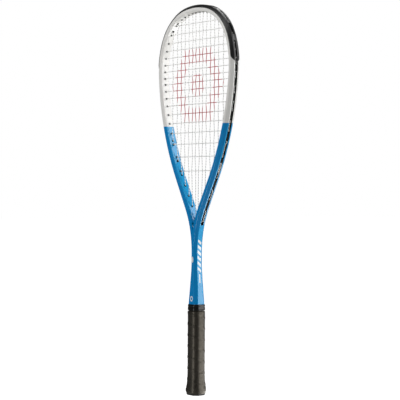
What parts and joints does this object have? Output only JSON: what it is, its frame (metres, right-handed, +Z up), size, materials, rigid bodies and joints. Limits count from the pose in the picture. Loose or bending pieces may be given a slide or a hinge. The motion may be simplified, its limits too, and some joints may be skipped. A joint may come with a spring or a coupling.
{
  "type": "squash racket",
  "caption": "Squash racket with an open-throat composite frame, woven string bed, head guard, grommet strips and a wrapped octagonal handle with a sliding collar.",
  "frame": {"origin": "centre of the butt cap's end face", "axes": "+Z up the long axis from the butt to the crown of the head, X across the head in the string plane, Y square to the strings"},
  "size_m": [0.216, 0.0326, 0.686],
  "materials": {
    "frame_lacquer": "gloss lacquer over carbon fibre laminate, pearl white head fading to blue legs",
    "guard_nylon": "moulded nylon, satin to gloss",
    "grommet_nylon": "moulded nylon",
    "string_gut": "translucent multifilament, stencilled red in the middle",
    "pallet_foam": "rigid polyurethane foam",
    "cap_plastic": "moulded plastic",
    "badge_plastic": "blank gloss disc",
    "staple_steel": "bright wire",
    "grip_wrap": "tacky polyurethane wrap, fine grain",
    "finishing_tape": "self-adhesive tape",
    "collar_rubber": "smooth elastic rubber"
  },
  "bodies": {
    "racket": {"frame": "frame_lacquer", "bumper_guard": "guard_nylon", "grommet_strip_right": "grommet_nylon", "grommet_strip_left": "grommet_nylon", "main_string": "string_gut", "cross_string": "string_gut", "tie_off_knots": "string_gut", "handle_pallet": "pallet_foam", "butt_cap": "cap_plastic", "butt_badge": "badge_plastic", "butt_cap_staples": "staple_steel", "grip_staple": "staple_steel", "grip_tape": "grip_wrap", "finishing_tape": "finishing_tape"},
    "collar": {"rubber_collar": "collar_rubber"}
  },
  "joints": [
    {"name": "collar_slide", "type": "slide", "parent": "racket", "child": "collar", "axis": [0, 0, 1], "range_m": [0, 0.06]}
  ]
}
